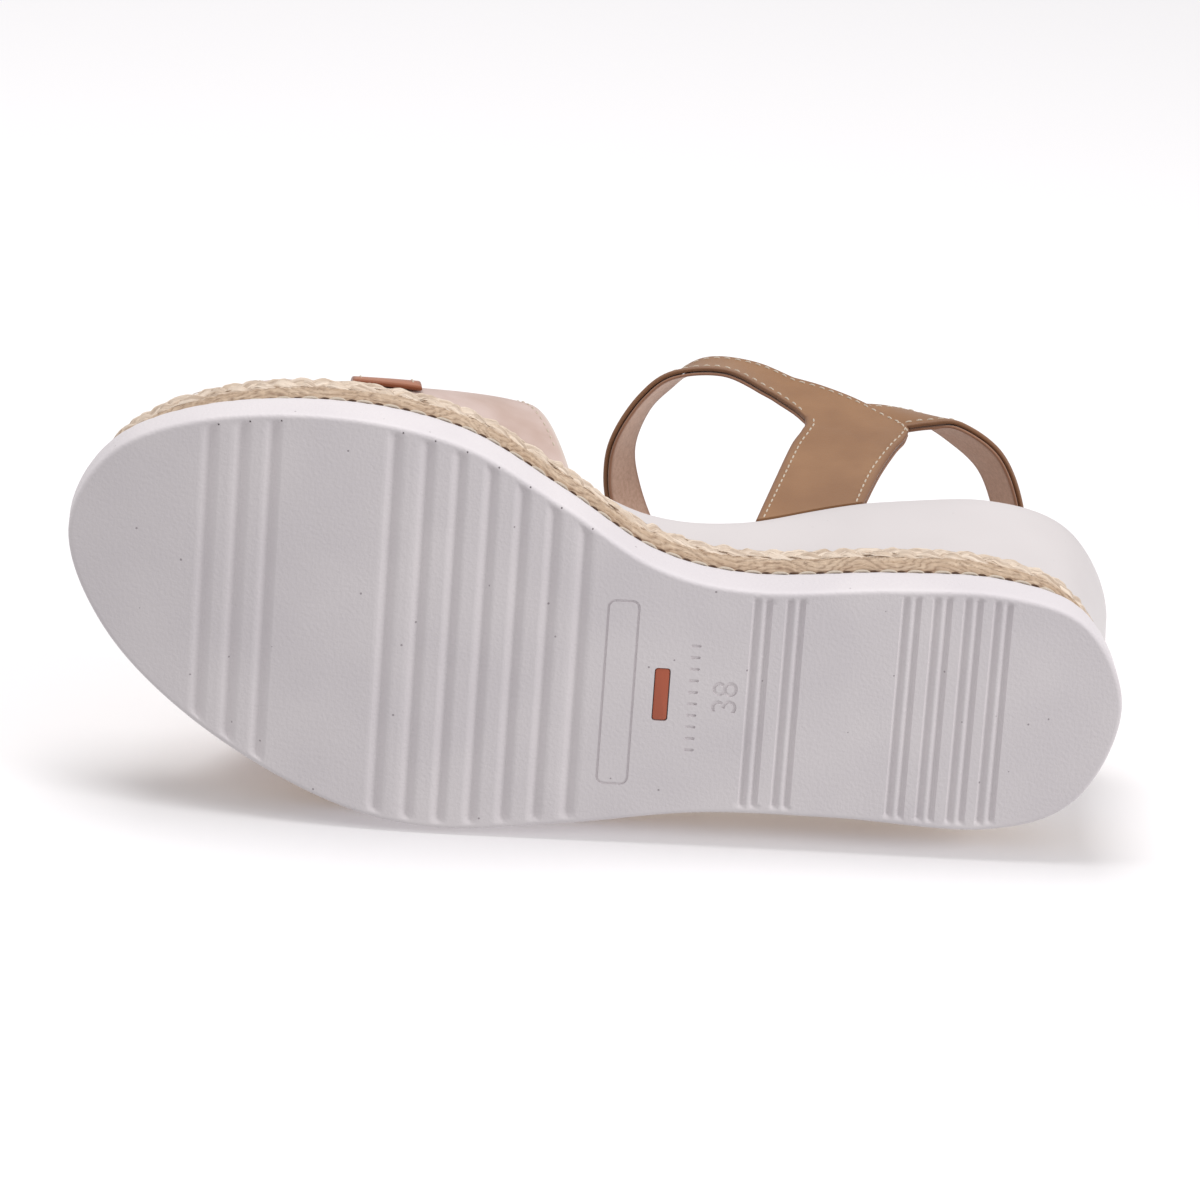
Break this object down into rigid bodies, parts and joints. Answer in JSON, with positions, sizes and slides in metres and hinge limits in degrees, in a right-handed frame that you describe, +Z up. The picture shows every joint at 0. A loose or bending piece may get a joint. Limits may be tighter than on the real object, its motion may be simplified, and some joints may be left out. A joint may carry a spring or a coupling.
{
  "type": "wedge sandal",
  "caption": "Open-toe wedge sandal for the right foot, with a braided platform band, a wide vamp, a fold-over vamp strap and a touch-fastened ankle strap.",
  "frame": {"origin": "middle of the footprint's overall box, on the ground under the tread", "axes": "+X towards the heel (the toe points to -X), +Y towards the outer side of the foot, +Z up"},
  "size_m": [0.26, 0.104, 0.1414],
  "materials": {
    "outsole": "off-white moulded compound, fine pebble",
    "sole_inlay": "plain terracotta plug",
    "platform_core": "foam core",
    "raffia_braid_lower": "natural raffia roll",
    "raffia_braid_upper": "natural raffia plait",
    "sole_seam_thread": "cream thread",
    "wedge_block": "satin off-white",
    "shank": "spring steel",
    "insole_board": "fibre board",
    "footbed_foam": "soft foam",
    "sock_lining": "smooth lining leather",
    "vamp_leather": "satin nude leather",
    "vamp_lining": "matt lining",
    "vamp_loop_tape": "loop tape",
    "vamp_hook_tape": "hook tape",
    "vamp_strap": "cognac leather",
    "medial_quarter": "satin brown leather",
    "medial_quarter_lining": "napped lining",
    "lateral_quarter": "satin brown leather",
    "lateral_quarter_lining": "napped lining",
    "ankle_loop_tape": "loop tape",
    "heel_strap": "satin brown leather",
    "heel_strap_lining": "napped lining",
    "instep_strap": "satin brown leather",
    "instep_strap_lining": "napped lining",
    "ankle_hook_tape": "hook tape"
  },
  "bodies": {
    "shoe": {"outsole": "outsole", "sole_inlay": "sole_inlay", "platform_core": "platform_core", "raffia_braid_lower": "raffia_braid_lower", "raffia_braid_upper": "raffia_braid_upper", "sole_seam_thread": "sole_seam_thread", "wedge_block": "wedge_block", "shank": "shank", "insole_board": "insole_board", "footbed_foam": "footbed_foam", "sock_lining": "sock_lining", "vamp_leather": "vamp_leather", "vamp_lining": "vamp_lining", "vamp_loop_tape": "vamp_loop_tape", "medial_quarter": "medial_quarter", "medial_quarter_lining": "medial_quarter_lining", "lateral_quarter": "lateral_quarter", "lateral_quarter_lining": "lateral_quarter_lining", "ankle_loop_tape": "ankle_loop_tape", "heel_strap": "heel_strap", "heel_strap_lining": "heel_strap_lining"},
    "instep_strap": {"instep_strap": "instep_strap", "instep_strap_lining": "instep_strap_lining", "ankle_hook_tape": "ankle_hook_tape"},
    "vamp_strap": {"vamp_strap": "vamp_strap", "vamp_hook_tape": "vamp_hook_tape"}
  },
  "joints": [
    {"name": "instep_strap_open", "type": "hinge", "parent": "shoe", "child": "instep_strap", "pos_m": [0.0513, -0.0247, 0.1192], "axis": [0, -0.1887, 0.982], "range_deg": [0, 95]},
    {"name": "vamp_strap_open", "type": "hinge", "parent": "shoe", "child": "vamp_strap", "pos_m": [-0.0554, 0.0456, 0.0379], "axis": [-0.9621, -0.27, -0.039], "range_deg": [0, 100]}
  ]
}
